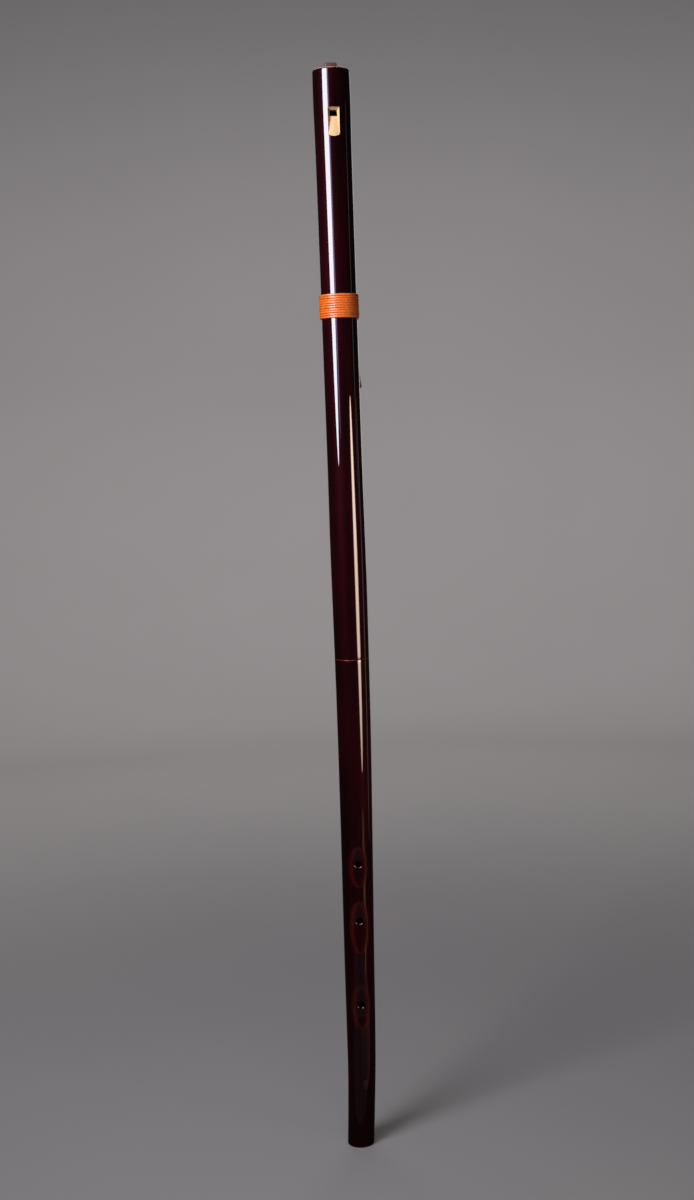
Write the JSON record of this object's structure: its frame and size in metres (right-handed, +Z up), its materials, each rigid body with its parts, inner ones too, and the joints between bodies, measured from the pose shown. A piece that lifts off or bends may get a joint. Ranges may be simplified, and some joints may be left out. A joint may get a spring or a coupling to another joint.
{
  "type": "bamboo bass duct flute",
  "caption": "Tall two-section lacquered bamboo duct flute with a window, finger holes in hollowed cups, a lace binding, a wind tube behind and a stopper in the top.",
  "frame": {"origin": "centre of the foot's flat face, in the middle of the open foot bore", "axes": "+Z up the flute, along the straight upper section; -Y to the front, where the window and the finger holes are"},
  "size_m": [0.0667, 0.0768, 1.659],
  "materials": {
    "lacquered_bamboo": "gloss lacquer",
    "wind_bamboo": "satin lacquer",
    "sleeve_wood": "satin",
    "waxed_thread": "matte",
    "block_wood": "matte",
    "dark_hardwood": "matte",
    "cork": "matte",
    "nipple_brass": "satin",
    "bare_bamboo": "matte",
    "orange_lace": "satin"
  },
  "bodies": {
    "lower_section": {"lower_tube": "lacquered_bamboo"},
    "sleeve": {"joint_sleeve": "sleeve_wood", "lower_lapping": "waxed_thread", "upper_lapping": "waxed_thread"},
    "upper_section": {"upper_tube": "lacquered_bamboo", "fipple_block": "block_wood", "wind_tube": "wind_bamboo", "wind_tube_plug": "dark_hardwood", "transfer_nipple": "nipple_brass", "mouthpiece": "bare_bamboo", "duct_saddle": "block_wood", "binding_lace": "orange_lace"},
    "stopper": {"stopper_plug": "dark_hardwood", "stopper_cork": "cork", "stopper_grip": "dark_hardwood"}
  },
  "joints": [
    {"name": "joint_twist", "type": "hinge", "parent": "lower_section", "child": "sleeve", "pos_m": [0.0129, 0, 0.7755], "axis": [0, 0, 1], "continuous": true},
    {"name": "joint_draw", "type": "slide", "parent": "sleeve", "child": "upper_section", "axis": [0, 0, 1], "range_m": [0, 0.06]},
    {"name": "stopper_draw", "type": "slide", "parent": "upper_section", "child": "stopper", "axis": [0, 0, 1], "range_m": [0, 0.02]}
  ]
}
